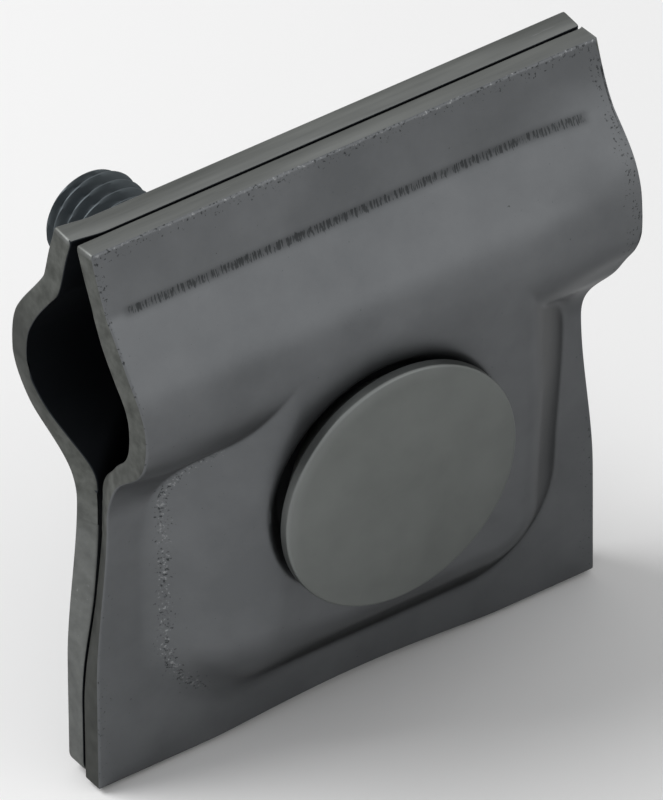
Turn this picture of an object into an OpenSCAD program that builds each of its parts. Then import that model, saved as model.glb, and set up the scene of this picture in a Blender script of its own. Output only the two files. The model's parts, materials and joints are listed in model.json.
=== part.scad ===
// Round wire connector clamp. Two pressed steel plates stand face to face and one bolt draws
// them together on a round wire, which lies in the channel between them.
// X runs along the wire, Y along the bolt with its head at the front (-Y), and Z is up.
// The origin is on the axis of the channel, halfway along it. The plates meet at Y = 0, the
// mating plane.

/* [Plates] */
// Width of each plate, along the wire
plate_w = 45.6; // [42:0.2:54]
// Height of each plate
plate_h = 50; // [48:1:58]
// Thickness of the sheet
sheet_t = 2; // [1.6:0.1:2.4]
// How far the pressing has drawn in each side edge below the channel
side_draw = 1.3; // [0.4:0.1:1.6]
// Length of the drawn-in stretch of each side edge
side_draw_len = 26; // [20:1:30]
// How far the pressing has drawn in the lower edge
foot_draw = 0.8; // [0.3:0.1:1.2]

/* [Wire channel] */
// Radius of the channel's round crest, at its inner face
wire_r = 5.8; // [5:0.1:6.6]
// Height of the channel's axis above the lower edge
channel_z = 35.9; // [35:0.1:38]
// Slope of the channel's lower side, in degrees from the flange
lower_slope = 46; // [40:1:55]
// Slope of the channel's upper side, in degrees from the flange
upper_slope = 32; // [28:0.5:38]
// Slope of the lip above the channel, in degrees from the flange
lip_slope = 17; // [12:1:22]
// Radius in the hollow side of the sharp bends of the sheet
bend_r = 1.5; // [1:0.1:2.5]

/* [Raised pad] */
// Width of the pad round the bolt, at its foot
pad_w = 35.4; // [32:0.2:37]
// How far the pad lies to the right of the bolt, seen from outside the plate
pad_shift = 1.3; // [0:0.1:2]
// Height of the pad's foot above the lower edge
pad_foot_z = 3.4; // [3:0.1:6]
// Rise of the pad's face above the flange, at the bolt
pad_rise = 5.2; // [4.8:0.1:5.6]
// Slope of the pad's walls, in degrees from the flange
pad_slope = 41; // [38:1:44]
// Radius of the pad's corners at the foot
pad_corner_r = 8.5; // [8.4:0.1:10]
// Radius of the pad's upper edge, at the inner face
pad_edge_r = 1.5; // [1:0.1:2]

/* [Round seat in the pad] */
// Radius of the seat's mouth, before its lip is rounded
seat_lip_r = 10.2; // [10:0.1:11]
// Rise of the seat's floor above the flange
seat_rise = 2.95; // [2.6:0.05:3.4]
// Slope of the seat's wall, in degrees from its floor
seat_slope = 50; // [48:1:65]
// Radius of the rounded lip of the seat
seat_round_r = 1.2; // [0.8:0.1:1.6]

/* [Bolt] */
// Diameter of the thread
bolt_d = 8; // [6:0.5:8]
// Length under the head
bolt_len = 36.5; // [30:0.5:45]
// Height of the bolt's axis above the lower edge
bolt_z = 23.15; // [22.5:0.05:24]
// Diameter of the flat round head
head_d = 20.65; // [19:0.05:22]
// Height of the head
head_h = 4.9; // [4.4:0.1:5.4]
// Height of the low dome on the head
head_dome = 0.5; // [0.2:0.1:0.8]
// Thickness of the head at its rim
head_rim = 0.9; // [0.6:0.1:1.4]
// Diameter of the head where it stands on its seat
head_foot_d = 14; // [13:0.5:15]
// Width of the square neck under the head
neck_w = 8.3; // [8.2:0.1:8.8]
// Length of the square neck
neck_len = 4; // [3:0.1:4.5]
// Chamfer at the end of the thread
bolt_chamfer = 0.5; // [0.3:0.1:1]
// Distance from one crest of the thread to the next
thread_pitch = 1.25; // [1:0.25:1.5]
// Depth of the thread, which is drawn as rings
thread_depth = 0.7; // [0.4:0.05:0.9]
// Plain length between the square neck and the thread
thread_runout = 1; // [0.5:0.1:2]

/* [Washers and nut] */
// Outer diameter of the flat washer
washer_d = 16; // [15:0.5:16.5]
// Thickness of the flat washer
washer_t = 1.6; // [1:0.1:2]
// Width of the spring washer's section
spring_w = 3.35; // [3:0.05:3.6]
// Thickness of the spring washer, pressed flat
spring_t = 2; // [1.4:0.1:2.4]
// Width of the cut in the spring washer
spring_cut = 0.6; // [0.4:0.1:1]
// Slant of the cut in the spring washer, in degrees
spring_slant = 25; // [10:1:35]
// Width of the nut across its flats
nut_flats = 13; // [12:0.5:14]
// Height of the nut
nut_h = 6.8; // [5:0.1:8]
// Depth of the countersink at each end of the nut's hole
nut_sink = 0.6; // [0.3:0.1:1]

/* [Fits] */
// Gap between the mating plane and the edge of each lip
lip_gap = 0.1; // [0.05:0.05:0.3]
// Clearance on each side of the square neck in its hole
neck_gap = 0.15; // [0.1:0.05:0.3]
// Clearance round the bolt in the rear plate
hole_gap = 0.5; // [0.3:0.1:0.8]
// Clearance round the bolt in the flat washer
washer_gap = 0.2; // [0.1:0.05:0.3]
// Clearance round the bolt in the spring washer
spring_gap = 0.1; // [0.05:0.05:0.2]
// Clearance round the bolt in the nut
nut_gap = 0.05; // [0.02:0.01:0.08]

/* [Hidden] */

bolt_drop = channel_z - bolt_z;
lip_top = plate_h - channel_z - sheet_t * sin(lip_slope);
// The pad's face is a plane that passes the bolt at its rise and is tangent to the crest
pad_tilt = atan2(bolt_drop, pad_rise) - acos(wire_r / norm([bolt_drop, pad_rise]));
seat_drop = bolt_drop * cos(pad_tilt) - pad_rise * sin(pad_tilt);
seat_y = sheet_t + seat_rise;
bolt_r = bolt_d / 2;
head_r = head_d / 2;
thread_rings = floor((bolt_len - bolt_chamfer - neck_len - thread_runout) / thread_pitch);
washer_y = seat_y + washer_t;
spring_y = washer_y + spring_t;
// The pad's upper corners end inside the round of the channel
pad_top_z = -wire_r / 5;
// How far a cutting shape runs past what it cuts, and a thin overlap
over = 1;
skin = 0.05;
// How far the round of a corner dips below the faces it joins, so that it crosses them
dip = 0.005;
bend_fn = 64;
corner_fn = 32;
// Straight steps in each half of a bowed edge
bow_steps = 5;
dome_fn = 720;
steel = [0.36, 0.37, 0.38];
zinc = [0.42, 0.45, 0.48];

// Point at distance r in the direction a
function polar(r, a) = r * [cos(a), sin(a)];

// In the profile, the first number is the distance out from the mating plane and the second
// the height. Each face of the sheet is the inner face moved outwards by grow.
function slope_foot(grow) =
    [grow, -(wire_r + grow * (1 - cos(lower_slope))) / sin(lower_slope)];

function lip_crease(grow) =
    let (crest = wire_r + grow,
         lip = lip_gap * cos(lip_slope) + lip_top * sin(lip_slope) + grow,
         turn = sin(upper_slope - lip_slope))
    [(lip * sin(upper_slope) - crest * sin(lip_slope)) / turn,
     (crest * cos(lip_slope) - lip * cos(upper_slope)) / turn];

// Height of the pad's inner face above the mating plane, at the height z
function pad_face(z) = wire_r / cos(pad_tilt) + z * tan(pad_tilt);

// Rounds the inner corner between two faces whose normals point along a and b
module corner_fill(corner, a, b, r) {
    middle = (a + b) / 2;
    reach = cos((a - b) / 2);
    centre = corner + polar(r / reach, middle);
    difference() {
        polygon([corner - polar(skin / reach, middle), centre - polar(r + skin, a), centre,
                 centre - polar(r + skin, b)]);
        translate(centre) circle(r + dip, $fn = bend_fn);
    }
}

// Everything behind one face of the bent sheet, which lies grow outwards from the inner face.
// It reaches back past the mating plane, where all of it is cut away at the end.
module sheet_profile(grow, back) {
    crest = wire_r + grow;
    foot = slope_foot(grow);
    low = back + over - channel_z;
    lip_end = [lip_gap, lip_top] + polar(grow, lip_slope) - polar(back, lip_slope + 90);
    intersection() {
        circle(crest, $fn = bend_fn);
        translate([back, -crest]) square(2 * crest);
    }
    polygon([[0, 0], [back, 0], [back, low], [grow, low], foot, polar(crest, -lower_slope)]);
    polygon([[0, 0], polar(crest, upper_slope), lip_crease(grow), lip_end,
             [back, lip_end.y], [back, 0]]);
    corner_fill(foot, 0, -lower_slope, bend_r + sheet_t - grow);
    corner_fill(lip_crease(grow), upper_slope, lip_slope, bend_r + sheet_t - grow);
}

// What is cut off past the end of the lip
module lip_trim() {
    translate([lip_gap, lip_top]) rotate(lip_slope) translate([-plate_h, 0])
        square([2 * plate_h, plate_h]);
}

// One corner of the pad, from the depth start up: a cone with a rounded upper edge
module pad_post(grow, start, face) {
    s = sin(pad_slope);
    c = cos(pad_slope);
    ring_r = (pad_corner_r * s - sheet_t - pad_edge_r + (sheet_t - face + pad_edge_r) * c) / s;
    foot_r = pad_corner_r + (grow - sheet_t + (sheet_t - start) * c) / s;
    rotate([-90, 0, 0]) {
        translate([0, 0, start - skin]) cylinder(skin, r = foot_r, $fn = corner_fn);
        translate([0, 0, face - pad_edge_r]) rotate_extrude($fn = corner_fn) intersection() {
            translate([ring_r, 0]) circle(pad_edge_r + grow, $fn = corner_fn);
            square(plate_w);
        }
    }
}

// The pad, from the depth start up to one face of the sheet
module raised_pad(grow, start) {
    side = pad_w / 2 - pad_corner_r;
    low_z = pad_foot_z + pad_corner_r - channel_z;
    hull()
        for (x = [-side, side], z = [low_z, pad_top_z])
            translate([x - pad_shift, 0, z]) pad_post(grow, start, pad_face(z));
}

// Places a turned shape on the axis of the seat, square to the face of the pad
module on_pad_face() {
    rotate([-pad_tilt, 0, 0]) translate([0, 0, -seat_drop]) rotate([-90, 0, 0]) children();
}

// The hollow of the seat, down to one face of the sheet
module seat_hollow(grow) {
    mouth = wire_r + sheet_t;
    deep = mouth - pad_rise;
    spread = (sheet_t - grow) / sin(seat_slope);
    floor_r = seat_lip_r - pad_rise / tan(seat_slope) + spread;
    open_r = seat_lip_r + over / tan(seat_slope) + spread;
    intersection() {
        on_pad_face() translate([0, 0, deep])
            cylinder(pad_rise + over, floor_r, open_r, $fn = bend_fn);
        translate([-plate_w / 2, seat_rise + grow, -channel_z])
            cube([plate_w, plate_w, plate_h]);
    }
}

// Takes the sharp edge off the mouth of the seat
module seat_lip_cut() {
    lip = [seat_lip_r, wire_r + sheet_t];
    run = seat_round_r * tan(seat_slope / 2);
    on_pad_face() rotate_extrude($fn = bend_fn) difference() {
        polygon([lip + polar(skin, 90 + seat_slope / 2), lip + [run, skin], lip + [run, 0],
                 lip - polar(run, seat_slope)]);
        translate(lip + [run, -seat_round_r]) circle(seat_round_r, $fn = bend_fn);
    }
}

// A shallow bowed bite into an edge that runs along Z, with the metal on its +X side
module edge_bite(depth, length) {
    bow = [for (i = [-bow_steps : bow_steps])
        let (t = i / bow_steps) [depth * (1 - t * t), t * length / 2]];
    rotate([90, 0, 0]) linear_extrude(2 * plate_h, center = true)
        polygon(concat([[-over, -length / 2]], bow, [[-over, length / 2]]));
}

// A plate pressed from sheet, with its outer side at +Y
module pressed_plate() {
    difference() {
        union() {
            rotate([90, 0, 90]) linear_extrude(plate_w, center = true)
                sheet_profile(sheet_t, -over);
            raised_pad(sheet_t, sheet_t / 2);
        }
        rotate([90, 0, 90]) linear_extrude(plate_w + 2 * over, center = true) {
            sheet_profile(0, -2 * over);
            lip_trim();
        }
        difference() {
            raised_pad(0, -2 * over);
            seat_hollow(0);
        }
        seat_hollow(sheet_t);
        seat_lip_cut();
        for (side = [0, 1])
            mirror([side, 0, 0]) translate([-plate_w / 2, 0, -bolt_drop])
                edge_bite(side_draw, side_draw_len);
        translate([-pad_shift, 0, -channel_z]) rotate([0, -90, 0])
            edge_bite(foot_draw, plate_w);
    }
}

// Places a shape on the bolt's axis, with its Z along the bolt towards the nut
module on_bolt(y) {
    translate([0, y, -bolt_drop]) rotate([-90, 0, 0]) children();
}

module front_plate() {
    hole = neck_w + 2 * neck_gap;
    color(steel) difference() {
        rotate([0, 0, 180]) pressed_plate();
        on_bolt(-seat_y - over) translate([-hole / 2, -hole / 2, 0])
            cube([hole, hole, sheet_t + 2 * over]);
    }
}

module rear_plate() {
    color(steel) difference() {
        pressed_plate();
        on_bolt(seat_rise - over)
            cylinder(sheet_t + 2 * over, r = bolt_r + hole_gap, $fn = bend_fn);
    }
}

// Outline of one groove of the thread: a flat root between two slopes, an eighth of the pitch
// wide, as is each flat crest
function thread_groove(i) =
    let (top = bolt_len - bolt_chamfer - i * thread_pitch + thread_pitch / 16,
         bottom = top + thread_pitch * 7 / 8,
         root_r = bolt_r - thread_depth)
    [[bolt_r, top], [root_r, (top + bottom) / 2 - thread_pitch / 16],
     [root_r, (top + bottom) / 2 + thread_pitch / 16], [bolt_r, bottom]];

module bolt() {
    rim_top = head_dome - head_h;
    dome_r = (head_r * head_r + head_dome * head_dome) / (2 * head_dome);
    color(zinc) on_bolt(-seat_y) {
        rotate_extrude($fn = bend_fn) intersection() {
            polygon([[0, 0], [head_foot_d / 2, 0], [head_r, rim_top + head_rim],
                     [head_r, -head_h], [0, -head_h]]);
            translate([0, dome_r - head_h]) circle(dome_r, $fn = dome_fn);
        }
        translate([-neck_w / 2, -neck_w / 2, 0]) cube([neck_w, neck_w, neck_len]);
        rotate_extrude($fn = bend_fn) polygon(concat(
            [[0, 0], [bolt_r, 0]], [for (i = [thread_rings : -1 : 1]) each thread_groove(i)],
            [[bolt_r, bolt_len - bolt_chamfer], [bolt_r - bolt_chamfer, bolt_len],
             [0, bolt_len]]));
    }
}

module flat_washer() {
    color(zinc) on_bolt(seat_y) difference() {
        cylinder(washer_t, d = washer_d, $fn = bend_fn);
        translate([0, 0, -over])
            cylinder(washer_t + 2 * over, r = bolt_r + washer_gap, $fn = bend_fn);
    }
}

module spring_washer() {
    inner_r = bolt_r + spring_gap;
    color(zinc) on_bolt(washer_y) difference() {
        cylinder(spring_t, r = inner_r + spring_w, $fn = bend_fn);
        translate([0, 0, -over]) cylinder(spring_t + 2 * over, r = inner_r, $fn = bend_fn);
        translate([inner_r + spring_w / 2, 0, spring_t / 2]) rotate([spring_slant, 0, 0])
            cube([2 * spring_w, spring_cut, 4 * spring_t], center = true);
    }
}

module hex_nut() {
    flat_r = nut_flats / 2;
    corner_r = flat_r / cos(30);
    fall = (corner_r - flat_r) * tan(30);
    bore_r = bolt_r + nut_gap;
    color(zinc) on_bolt(spring_y) difference() {
        intersection() {
            cylinder(nut_h, r = corner_r, $fn = 6);
            rotate_extrude($fn = bend_fn)
                polygon([[0, 0], [flat_r, 0], [corner_r, fall], [corner_r, nut_h - fall],
                         [flat_r, nut_h], [0, nut_h]]);
        }
        translate([0, 0, -over]) cylinder(nut_h + 2 * over, r = bore_r, $fn = bend_fn);
        for (end = [0, 1])
            translate([0, 0, end * nut_h]) mirror([0, 0, end]) translate([0, 0, -skin])
                cylinder(nut_sink + skin, bore_r + nut_sink + skin, bore_r, $fn = bend_fn);
    }
}

front_plate();
rear_plate();
bolt();
flat_washer();
spring_washer();
hex_nut();
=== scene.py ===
"""Dresses a round wire connector clamp: two pressed, zinc-plated plates drawn together by one
saucer-head bolt with a flat washer, a spring washer and a hex nut.

X runs along the wire, Y along the bolt towards its nut, and Z is up. The origin is on the axis of
the wire channel, and the plates meet at Y = 0. Sizes are in millimetres until a mesh is finished.
"""
import json
import logging
import math
from dataclasses import dataclass
from enum import Enum
from typing import Sequence

import bpy
import numpy as np
from bpy.types import Material, Node, NodeSocket, NodeTree, Object
from mathutils import Euler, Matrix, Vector

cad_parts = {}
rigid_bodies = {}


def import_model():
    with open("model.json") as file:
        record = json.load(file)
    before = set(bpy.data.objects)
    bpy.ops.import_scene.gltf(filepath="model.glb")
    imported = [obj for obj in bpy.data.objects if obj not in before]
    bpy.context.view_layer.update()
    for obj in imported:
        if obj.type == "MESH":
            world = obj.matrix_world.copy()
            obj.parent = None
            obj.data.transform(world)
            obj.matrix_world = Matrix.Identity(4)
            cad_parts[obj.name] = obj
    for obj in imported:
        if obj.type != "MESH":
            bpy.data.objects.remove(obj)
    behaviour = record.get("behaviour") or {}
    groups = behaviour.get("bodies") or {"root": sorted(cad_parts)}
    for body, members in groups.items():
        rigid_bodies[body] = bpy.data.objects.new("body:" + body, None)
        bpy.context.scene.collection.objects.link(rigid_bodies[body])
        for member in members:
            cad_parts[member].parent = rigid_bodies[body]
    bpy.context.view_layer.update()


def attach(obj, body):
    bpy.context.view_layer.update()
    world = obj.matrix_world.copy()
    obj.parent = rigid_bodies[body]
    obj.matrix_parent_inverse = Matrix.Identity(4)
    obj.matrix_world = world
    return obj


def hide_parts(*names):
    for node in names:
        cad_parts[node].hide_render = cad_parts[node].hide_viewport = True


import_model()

MM = 0.001
BOLT_Z = -12.75  # height of the bolt's axis, from the channel's axis
SEAT_Y = 4.95  # where the head and the flat washer stand, from the mating plane
WELD = 1e-4  # points closer than this become one
TINY = 1e-6  # keeps a root or a quotient off zero
SPOT_COVER = 0.85  # how much of the plating a full spot hides
MIX_FACTOR, MIX_UNDER, MIX_OVER, MIX_RESULT = 0, 6, 7, 2  # sockets of a colour Mix node

Values = np.ndarray | float
Pair = tuple[np.ndarray, np.ndarray]
Span = tuple[float, float]  # from where to where something grows
Hill = tuple[Span, Span]  # where something grows, and where it fades again
Bulge = tuple[float, float, float]  # how far it stands out, its middle and its reach

log = logging.getLogger("clamp")


def deselect_all() -> None:
    """Leaves nothing selected, because an operator acts on all that is."""
    for item in bpy.data.objects:
        item.select_set(False)


def active_piece(name: str) -> Object:
    """Names the object that an operator has just added and returns it.

    Args:
        name: The piece's name.

    Returns:
        The named object.
    """
    piece = bpy.context.active_object
    piece.name = name
    piece.data.name = name
    return piece


def make_active(piece: Object) -> None:
    """Selects one piece alone and makes it active.

    Args:
        piece: The piece.
    """
    deselect_all()
    piece.select_set(True)
    bpy.context.view_layer.objects.active = piece


def read_points(piece: Object) -> np.ndarray:
    """Reads the points of a piece.

    Args:
        piece: The piece.

    Returns:
        Rows of x, y, z.
    """
    points = np.zeros(len(piece.data.vertices) * 3, np.float64)
    piece.data.vertices.foreach_get("co", points)
    return points.reshape(-1, 3)


def write_points(piece: Object, points: np.ndarray) -> None:
    """Puts the piece's points where the rows of x, y, z say."""
    piece.data.vertices.foreach_set("co", points.astype(np.float32).ravel())
    piece.data.update()


def read_faces(piece: Object, what: str) -> np.ndarray:
    """Reads how the faces of a piece stand, or where.

    Args:
        piece: The piece.
        what: "normal" or "center".

    Returns:
        Rows of x, y, z.
    """
    rows = np.zeros(len(piece.data.polygons) * 3)
    piece.data.polygons.foreach_get(what, rows)
    return rows.reshape(-1, 3)


def dress(piece: Object, *finishes: Material) -> None:
    """Gives a piece its finishes and no others.

    Args:
        piece: The piece.
        *finishes: Its materials in order.
    """
    piece.data.materials.clear()
    for finish in finishes:
        piece.data.materials.append(finish)


def give_second_finish(piece: Object, chosen: np.ndarray) -> None:
    """Gives the chosen faces the piece's second finish and the others its first one."""
    piece.data.polygons.foreach_set("material_index", chosen.astype(np.int32))


def apply_modifier(piece: Object, kind: str, **settings: object) -> None:
    """Adds a modifier with its settings and applies it at once.

    Args:
        piece: The piece to change.
        kind: The modifier's type.
        **settings: Its properties by name.
    """
    make_active(piece)
    modifier = piece.modifiers.new(kind.lower(), kind)
    for key, value in settings.items():
        setattr(modifier, key, value)
    bpy.ops.object.modifier_apply(modifier=modifier.name)


def combine(piece: Object, tool: Object, operation: str) -> None:
    """Cuts, joins or intersects a piece with another solid, which is used up."""
    apply_modifier(piece, "BOOLEAN", object=tool, operation=operation, solver="EXACT")
    bpy.data.objects.remove(tool, do_unlink=True)


def lathe(name: str, profile: Sequence[tuple[float, float]], steps: int) -> Object:
    """Turns a profile round the Z axis, by extruding it point by point and spinning it.

    Args:
        name: The piece's name.
        profile: Radius and height of each point, from axis to axis or round a ring.
        steps: Number of segments round the axis.

    Returns:
        The closed solid, with its normals outwards.
    """
    deselect_all()
    start_r, start_z = profile[0]
    bpy.ops.mesh.primitive_plane_add(size=1, location=(0, 0, 0))
    piece = active_piece(name)
    bpy.ops.object.mode_set(mode="EDIT")
    bpy.ops.mesh.merge(type="CENTER")
    bpy.ops.transform.translate(value=(start_r, 0, start_z))
    for (r0, z0), (r1, z1) in zip(profile, profile[1:]):
        bpy.ops.mesh.extrude_region_move(TRANSFORM_OT_translate={"value": (r1 - r0, 0, z1 - z0)})
    bpy.ops.mesh.select_all(action="SELECT")
    bpy.ops.mesh.spin(steps=steps, angle=math.tau, center=(0, 0, 0), axis=(0, 0, 1))
    bpy.ops.mesh.select_all(action="SELECT")
    bpy.ops.mesh.remove_doubles(threshold=WELD)
    bpy.ops.mesh.normals_make_consistent(inside=False)
    bpy.ops.object.mode_set(mode="OBJECT")
    return piece


def along_bolt(piece: Object, start_y: float) -> None:
    """Lays a solid made round the Z axis along the bolt, its Z = 0 at start_y."""
    x, y, z = read_points(piece).T
    write_points(piece, np.column_stack((x, z + start_y, BOLT_Z - y)))


def finish_piece(piece: Object, body: str, node: str, smooth_deg: float) -> None:
    """Brings a piece to metres, shades it, puts it on its body and hides the model's node that it
    stands for.

    Args:
        piece: The finished piece, in millimetres.
        body: The body that it rides on.
        node: The node that it stands for.
        smooth_deg: Edges sharper than this stay sharp.
    """
    write_points(piece, read_points(piece) * MM)
    make_active(piece)
    bpy.ops.object.shade_smooth_by_angle(angle=math.radians(smooth_deg))
    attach(piece, body)
    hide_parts(node)
    log.info("%s: %d faces on %s", piece.name, len(piece.data.polygons), body)


def linear(code: str) -> tuple[float, float, float, float]:
    """Turns an sRGB hex colour into the linear colour that a shader takes.

    Args:
        code: Six hex digits.

    Returns:
        Red, green, blue and a full alpha.
    """
    parts = [int(code[i:i + 2], 16) / 255 for i in (0, 2, 4)]
    red, green, blue = (c / 12.92 if c <= 0.04045 else ((c + 0.055) / 1.055) ** 2.4
                        for c in parts)
    return red, green, blue, 1.0


def add_node(tree: NodeTree, kind: str, inputs: dict | None = None,
             stops: Sequence[tuple[float, str]] = (), **settings: object) -> Node:
    """Adds a node with its settings, values and links.

    Args:
        tree: The node tree.
        kind: The node's type.
        inputs: For each input, by name or number, a value or the socket to link from.
        stops: For a colour ramp, place and hex colour of its two stops.
        **settings: The node's own properties by name.

    Returns:
        The node.
    """
    node = tree.nodes.new(kind)
    for key, value in settings.items():
        setattr(node, key, value)
    for number, (place, code) in enumerate(stops):
        node.color_ramp.elements[number].position = place
        node.color_ramp.elements[number].color = linear(code)
    for key, value in (inputs or {}).items():
        if isinstance(value, NodeSocket):
            tree.links.new(value, node.inputs[key])
        else:
            node.inputs[key].default_value = value
    return node


class WearAndShading(Enum):
    """Marks that the press and handling leave, and painted light and shade, kept as attributes of
    a piece.
    """

    CREASE = "crease_wear"
    SCUFF = "scuff_wear"
    RIM = "rim_wear"
    HIGHLIGHT = "bare_wear"
    END_SHADE = "dirt_wear"
    WALL = "wall_wear"
    INNER_SHADE = "grime_wear"


def mark(piece: Object, marking: WearAndShading, amount: np.ndarray) -> None:
    """Writes on a piece's points how strong one of its marks of wear, painted light and painted
    shade is there, from 0 to 1.
    """
    layer = piece.data.attributes.new(marking.value, "FLOAT", "POINT")
    layer.data.foreach_set("value", np.asarray(amount, np.float32))


def spots(tree: NodeTree, noise: NodeSocket,
          markings: Sequence[NodeSocket], clean: float, full: float,
          soft: float) -> NodeSocket:
    """Lets spots of a noise through, more of them where the given marks are stronger: wear, and
    painted light and shade.

    Args:
        tree: The node tree.
        noise: The noise.
        markings: Kinds of wear and of painted light and shade, from 0 to 1, of which the
            strongest counts.
        clean: The noise above which a spot shows where there is no mark.
        full: The same at a full mark.
        soft: How softly a spot fades in.

    Returns:
        The mask, from 0 to SPOT_COVER.
    """
    worst, *others = markings
    for other in others:
        worst = add_node(tree, "ShaderNodeMath", {0: worst, 1: other},
                         operation="MAXIMUM").outputs[0]
    limit = add_node(tree, "ShaderNodeMapRange", {
        "Value": worst, "To Min": clean, "To Max": full}).outputs["Result"]
    above = add_node(tree, "ShaderNodeMath", {0: noise, 1: limit},
                     operation="SUBTRACT").outputs[0]
    return add_node(tree, "ShaderNodeMapRange", {
        "Value": above, "From Max": soft, "To Max": SPOT_COVER}).outputs["Result"]


def new_material(name: str) -> tuple[Material, NodeTree]:
    """Starts a material without nodes.

    Args:
        name: The material's name.

    Returns:
        The material and its tree.
    """
    material = bpy.data.materials.new(name)
    material.use_nodes = True
    material.node_tree.nodes.clear()
    return material, material.node_tree


@dataclass(frozen=True)
class MetalFinish:
    """What the clamp's metals share: clouds of tone and sheen, and a fine relief."""

    name: str
    dark: str
    light: str
    metallic: float = 0.9
    rough_low: float = 0.34
    rough_high: float = 0.46
    tone_span: Span = (0.3, 0.7)  # values of the clouds that are darkest and lightest
    sheen_span: Span = (0.3, 0.7)  # and those that are glossiest and dullest
    cloud_mm: float = 5.0  # width of the soft clouds
    edge_tint: float = 0.55  # dulls the sheen where the surface is seen edge on
    relief: float = 0.08
    relief_mm: float = 0.02

    def surface(self, tree: NodeTree, cloud: NodeSocket,
                grain: NodeSocket,
                covers: Sequence[tuple[NodeSocket, str]]) -> None:
        """Colours the metal, lays what covers it on top and ends the material with its shader.

        Args:
            tree: The material's tree.
            cloud: Noise of the clouds.
            grain: Noise of the relief.
            covers: Mask and hex colour of each thing that lies on the metal, wear and painted
                light and shade alike, the lowest first.
        """
        darkest, lightest = self.tone_span
        colour = add_node(tree, "ShaderNodeValToRGB", {"Fac": cloud}, stops=[
            (darkest, self.dark), (lightest, self.light)]).outputs["Color"]
        for cover, code in covers:
            colour = add_node(tree, "ShaderNodeMix", {
                MIX_FACTOR: cover, MIX_UNDER: colour, MIX_OVER: linear(code)},
                data_type="RGBA").outputs[MIX_RESULT]
        glossiest, dullest = self.sheen_span
        sheen = add_node(tree, "ShaderNodeMapRange", {
            "Value": cloud, "From Min": glossiest, "From Max": dullest,
            "To Min": self.rough_low, "To Max": self.rough_high}).outputs["Result"]
        bump = add_node(tree, "ShaderNodeBump", {
            "Height": grain, "Strength": self.relief,
            "Distance": self.relief_mm * MM}).outputs["Normal"]
        shader = add_node(tree, "ShaderNodeBsdfPrincipled", {
            "Base Color": colour, "Metallic": self.metallic, "Roughness": sheen,
            "Specular Tint": (self.edge_tint, self.edge_tint, self.edge_tint, 1.0),
            "Normal": bump})
        add_node(tree, "ShaderNodeOutputMaterial", {"Surface": shader.outputs[0]})


@dataclass(frozen=True)
class ZincSheet(MetalFinish):
    """Zinc-plated steel sheet, cold pressed and dulled by handling."""

    # To the eye it is a smooth dark grey with faint clouds and a soft sheen on its rounds, dark
    # scoring where the tool bent the lip, and small dark and bright specks at the foot of the pad
    # and along the rims; painted shade darkens the crease, the pad's walls and the channel's
    # inside, and a painted highlight lightens the top of the lip
    name: str = "dull_zinc_plated_sheet"
    dark: str = "5e6062"
    light: str = "696b6d"
    bright: str = "909293"  # steel worn bare, also the painted highlight
    score: str = "2b2d2e"  # scored and dirty plating, also the painted shade in the crease and on the pad's walls
    inner_shade_colour: str = "2a2d31"  # painted shade inside the channel and between the flanges
    metallic: float = 0.88
    rough_low: float = 0.36
    rough_high: float = 0.44
    tone_span: Span = (0.35, 0.65)
    cloud_mm: float = 9.0
    relief: float = 0.06
    relief_mm: float = 0.03
    grit_mm: float = 0.27  # the press tool's grit, drawn as coarse as it needs to show
    # Spacing of the scores along the crease, through the sheet and across the crease
    score_mm: tuple[float, float, float] = (0.17, 2.0, 1.3)
    crease_tone: float = 0.42  # how dark the painted shade in the crease is between its scores

    def make(self) -> Material:
        """Builds the material.

        Returns:
            The material.
        """
        material, tree = new_material(self.name)
        where = add_node(tree, "ShaderNodeTexCoord").outputs["Object"]
        crease, scuff, rim, highlight, wall, inner_shade = (
            add_node(tree, "ShaderNodeAttribute", attribute_name=marking.value).outputs["Fac"]
            for marking in (WearAndShading.CREASE, WearAndShading.SCUFF, WearAndShading.RIM, WearAndShading.HIGHLIGHT, WearAndShading.WALL, WearAndShading.INNER_SHADE))
        cloud = add_node(tree, "ShaderNodeTexNoise", {
            "Vector": where, "Scale": 1 / (self.cloud_mm * MM), "Detail": 7.0,
            "Roughness": 0.64}).outputs["Fac"]
        grit = add_node(tree, "ShaderNodeTexNoise", {
            "Vector": where, "Scale": 1 / (self.grit_mm * MM), "Detail": 3.0,
            "Roughness": 0.6}).outputs["Fac"]
        # Scores run across the crease, as the sheet slid over the tool's edge
        along = add_node(tree, "ShaderNodeMapping", {
            "Vector": where, "Scale": tuple(1 / (size * MM) for size in self.score_mm)},
            vector_type="POINT").outputs["Vector"]
        score = add_node(tree, "ShaderNodeTexNoise", {
            "Vector": along, "Scale": 1.0, "Detail": 3.0, "Roughness": 0.65}).outputs["Fac"]
        scored = spots(tree, score, [crease], clean=0.78, full=0.40, soft=0.12)
        # Painted shade along the crease, between its scores
        band = add_node(tree, "ShaderNodeMath", {0: crease, 1: self.crease_tone},
                        operation="MULTIPLY").outputs[0]
        # Pits lie all over, and closer together on the rims and the scuffed foot of the pad
        upside = add_node(tree, "ShaderNodeMath", {0: 1.0, 1: grit},
                          operation="SUBTRACT").outputs[0]
        dark_marks_and_shade = spots(tree, upside, [scuff, rim], clean=0.71, full=0.545, soft=0.07)
        # Painted shade on the pad's walls and in the crease, and the scores, take the pits' dark
        # colour
        for other in (wall, band, scored):
            dark_marks_and_shade = add_node(tree, "ShaderNodeMath", {0: dark_marks_and_shade, 1: other},
                            operation="MAXIMUM").outputs[0]
        specks = spots(tree, grit, [scuff, highlight], clean=0.80, full=0.535, soft=0.10)
        self.surface(tree, cloud, grit, [(dark_marks_and_shade, self.score), (specks, self.bright),
                                         (inner_shade, self.inner_shade_colour)])
        return material


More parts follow.
